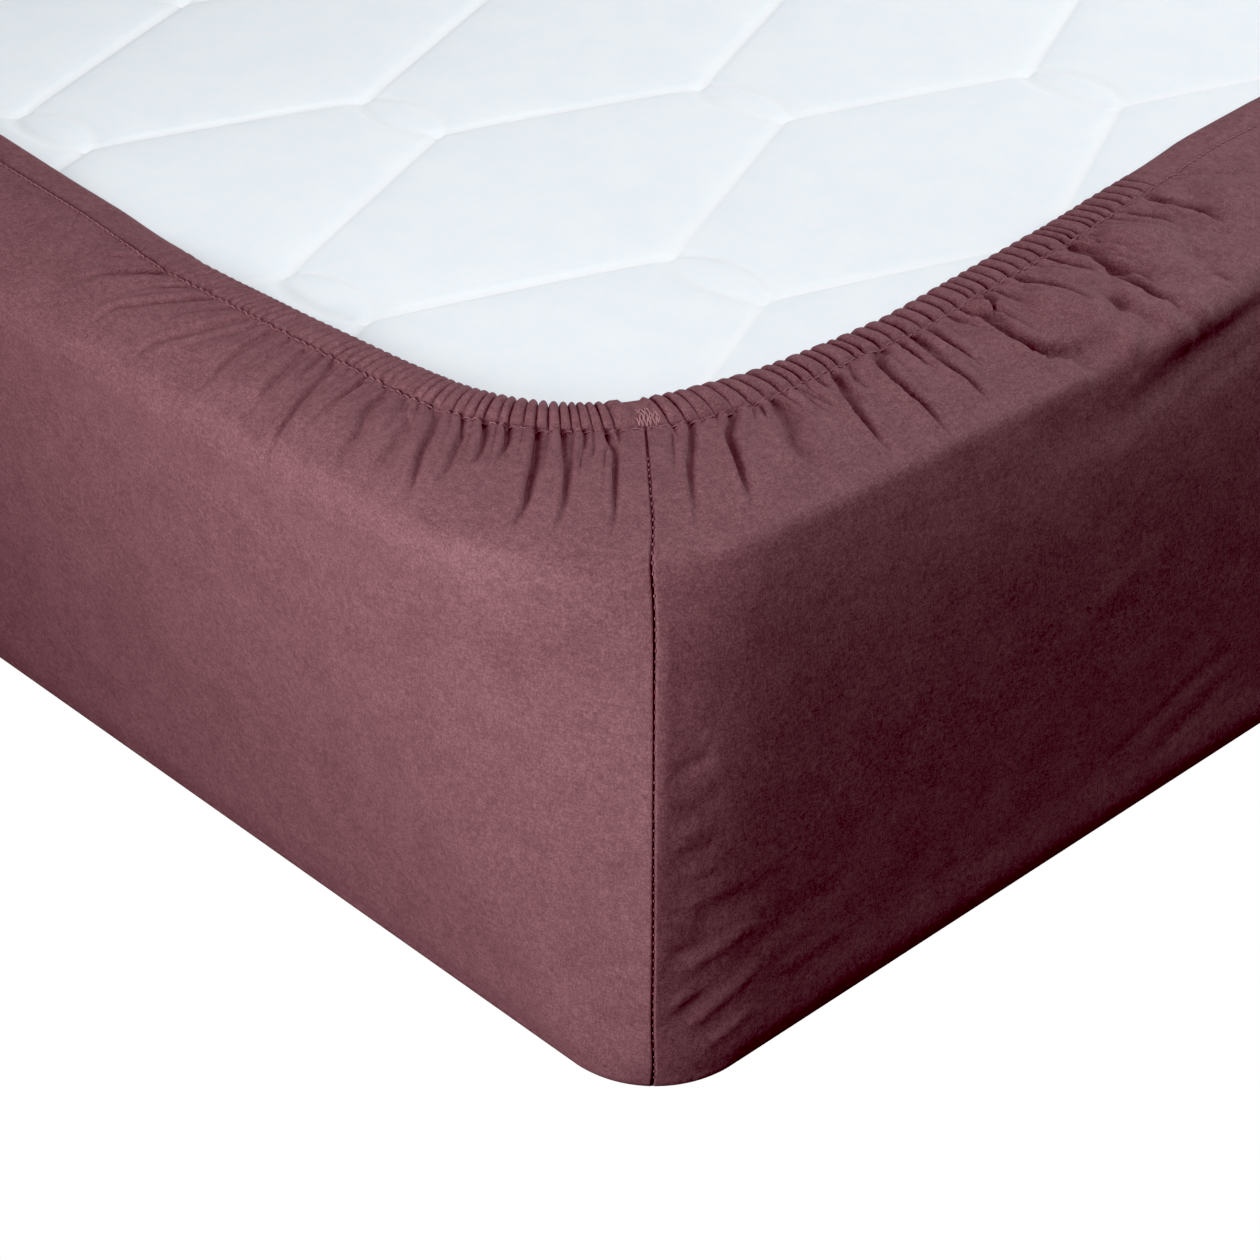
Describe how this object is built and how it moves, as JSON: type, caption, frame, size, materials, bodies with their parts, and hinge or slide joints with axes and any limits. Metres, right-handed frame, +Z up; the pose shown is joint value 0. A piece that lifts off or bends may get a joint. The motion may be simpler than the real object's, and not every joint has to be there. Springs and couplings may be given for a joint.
{
  "type": "fitted sheet on a mattress",
  "caption": "Fitted sheet with gathered elasticated corners, stretched over a mattress that lies upside down.",
  "frame": {"origin": "middle of the underside, on the surface that it lies on", "axes": "+X along the short side, +Y along the long side, +Z up, from the sheet's large panel to its gathered hem"},
  "size_m": [0.9, 2, 0.2045],
  "materials": {
    "sheet_cotton": "matt plain-weave cotton, plum",
    "mattress_cover": "soft white quilted knit"
  },
  "bodies": {
    "root": {"fitted_sheet": "sheet_cotton", "mattress": "mattress_cover"}
  },
  "joints": []
}
